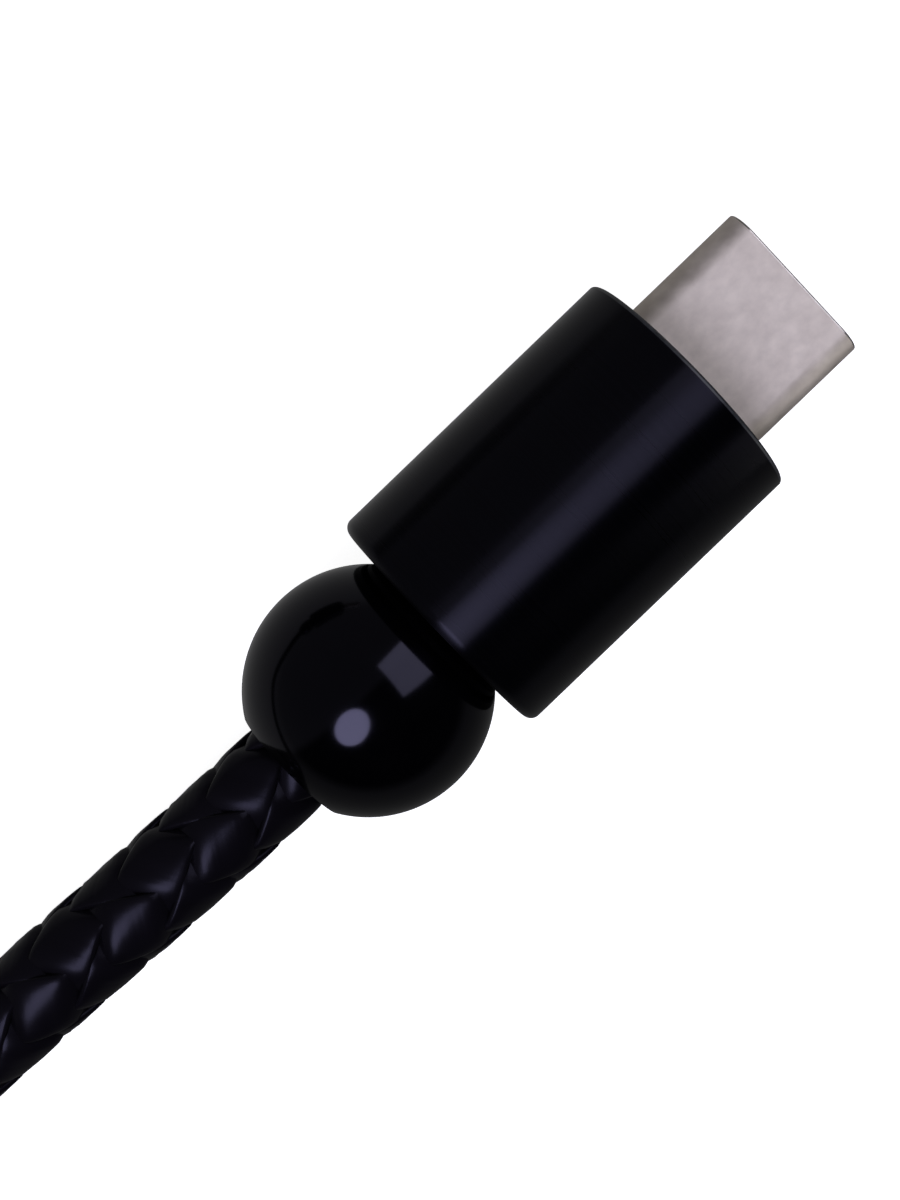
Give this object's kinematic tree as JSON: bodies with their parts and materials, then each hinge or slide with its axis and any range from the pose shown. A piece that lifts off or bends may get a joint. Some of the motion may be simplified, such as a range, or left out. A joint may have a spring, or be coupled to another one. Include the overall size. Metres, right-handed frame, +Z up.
{
  "type": "charging cable",
  "caption": "Short braided leather charging cable with round barrels, a bead at each end, a reversible oval plug and a flat rectangular plug.",
  "frame": {"origin": "middle of the USB-C end's length, on its axis, at the surface the cable lies on", "axes": "+X along the USB-C plug, towards its tip; +Z up, out of the plug's flat side; +Y towards the USB-A end"},
  "size_m": [0.1025, 0.0639, 0.0155],
  "materials": {
    "black_barrel": "smooth semi-gloss black",
    "black_bead": "polished black",
    "black_leather": "plaited, waxed black",
    "plug_steel": "satin nickel plate",
    "can_steel": "plain plated",
    "spring_steel": "bright rolled",
    "gold_contact": "gold flash",
    "ferrule_brass": "plain",
    "black_insulator": "moulded",
    "white_insulator": "moulded",
    "green_board": "solder mask",
    "resistor_black": "ceramic chip",
    "mould_clear": "milky, moulded",
    "bush_black": "moulded",
    "grip_rubber": "matt",
    "cable_jacket": "matt",
    "wire_red": "smooth",
    "wire_white": "smooth",
    "wire_green": "smooth",
    "wire_black": "smooth"
  },
  "bodies": {
    "root": {"braided_cord": "black_leather", "usb_a_barrel": "black_barrel", "usb_a_cable_jacket": "cable_jacket", "usb_a_contact_1": "gold_contact", "usb_a_contact_2": "gold_contact", "usb_a_contact_3": "gold_contact", "usb_a_contact_4": "gold_contact", "usb_a_contact_retainer": "white_insulator", "usb_a_cord_bush": "bush_black", "usb_a_cord_ferrule": "ferrule_brass", "usb_a_inner_mould": "mould_clear", "usb_a_rear_can": "can_steel", "usb_a_shell": "plug_steel", "usb_a_tongue": "white_insulator", "usb_a_wire_black": "wire_black", "usb_a_wire_green": "wire_green", "usb_a_wire_red": "wire_red", "usb_a_wire_white": "wire_white", "usb_c_barrel": "black_barrel", "usb_c_cable_jacket": "cable_jacket", "usb_c_circuit_board": "green_board", "usb_c_contact_a1": "gold_contact", "usb_c_contact_a12": "gold_contact", "usb_c_contact_a4": "gold_contact", "usb_c_contact_a5": "gold_contact", "usb_c_contact_a6": "gold_contact", "usb_c_contact_a7": "gold_contact", "usb_c_contact_a9": "gold_contact", "usb_c_contact_b1": "gold_contact", "usb_c_contact_b12": "gold_contact", "usb_c_contact_b4": "gold_contact", "usb_c_contact_b9": "gold_contact", "usb_c_cord_bush": "bush_black", "usb_c_cord_ferrule": "ferrule_brass", "usb_c_ground_spring_lower": "spring_steel", "usb_c_ground_spring_upper": "spring_steel", "usb_c_inner_mould": "mould_clear", "usb_c_insulator": "black_insulator", "usb_c_latch_spring": "spring_steel", "usb_c_rear_can": "can_steel", "usb_c_resistor": "resistor_black", "usb_c_shell": "plug_steel", "usb_c_wire_black": "wire_black", "usb_c_wire_green": "wire_green", "usb_c_wire_red": "wire_red", "usb_c_wire_white": "wire_white"},
    "usb_c_bead_grip": {"usb_c_bead_grip_ring": "grip_rubber"},
    "usb_c_bead_ball": {"usb_c_bead": "black_bead"},
    "usb_a_bead_grip": {"usb_a_bead_grip_ring": "grip_rubber"},
    "usb_a_bead_ball": {"usb_a_bead": "black_bead"}
  },
  "joints": [
    {"name": "usb_c_bead_slide", "type": "slide", "parent": "root", "child": "usb_c_bead_grip", "axis": [-1, 0, 0], "range_m": [0, 0.01]},
    {"name": "usb_c_bead_spin", "type": "hinge", "parent": "usb_c_bead_grip", "child": "usb_c_bead_ball", "pos_m": [-0.01547, 0, 0.00615], "axis": [1, 0, 0], "continuous": true},
    {"name": "usb_a_bead_slide", "type": "slide", "parent": "root", "child": "usb_a_bead_grip", "axis": [-1, 0, 0], "range_m": [0, 0.01]},
    {"name": "usb_a_bead_spin", "type": "hinge", "parent": "usb_a_bead_grip", "child": "usb_a_bead_ball", "pos_m": [-0.0153, 0.05, 0.00775], "axis": [1, 0, 0], "continuous": true}
  ]
}
